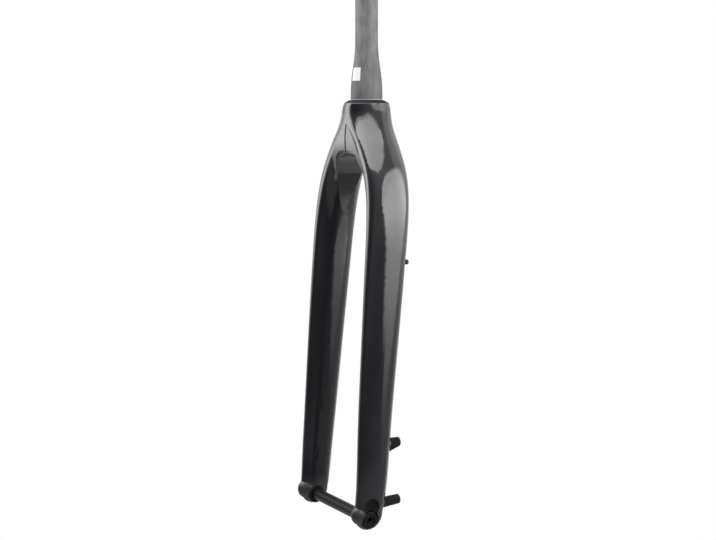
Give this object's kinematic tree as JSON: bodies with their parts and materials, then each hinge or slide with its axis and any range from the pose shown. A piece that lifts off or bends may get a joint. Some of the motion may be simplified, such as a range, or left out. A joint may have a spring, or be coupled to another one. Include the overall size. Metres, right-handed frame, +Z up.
{
  "type": "rigid bicycle fork",
  "caption": "Rigid bicycle fork: tapered steerer tube, sculpted crown that splits into curved blades, bolt-through axle, and post mounts for a disc brake.",
  "frame": {"origin": "on the steerer axis, at the shoulder of the crown that the lower headset race sits on", "axes": "+Z up the steerer axis, -Y to the front of the bicycle, +X to the rider's left, where the disc brake posts are"},
  "size_m": [0.1554, 0.0937, 0.8304],
  "materials": {
    "gloss_black_carbon": "gloss clear coat over black carbon laminate",
    "raw_carbon": "matt, uncoated carbon laminate",
    "black_anodised": "black anodised, satin",
    "plain_aluminium": "plain turned",
    "black_steel": "black, satin"
  },
  "bodies": {
    "root": {"fork_body": "gloss_black_carbon", "steerer_tube": "raw_carbon", "thru_axle": "black_anodised", "axle_nut": "plain_aluminium", "post_inserts": "plain_aluminium", "guide_screw": "black_steel"}
  },
  "joints": []
}
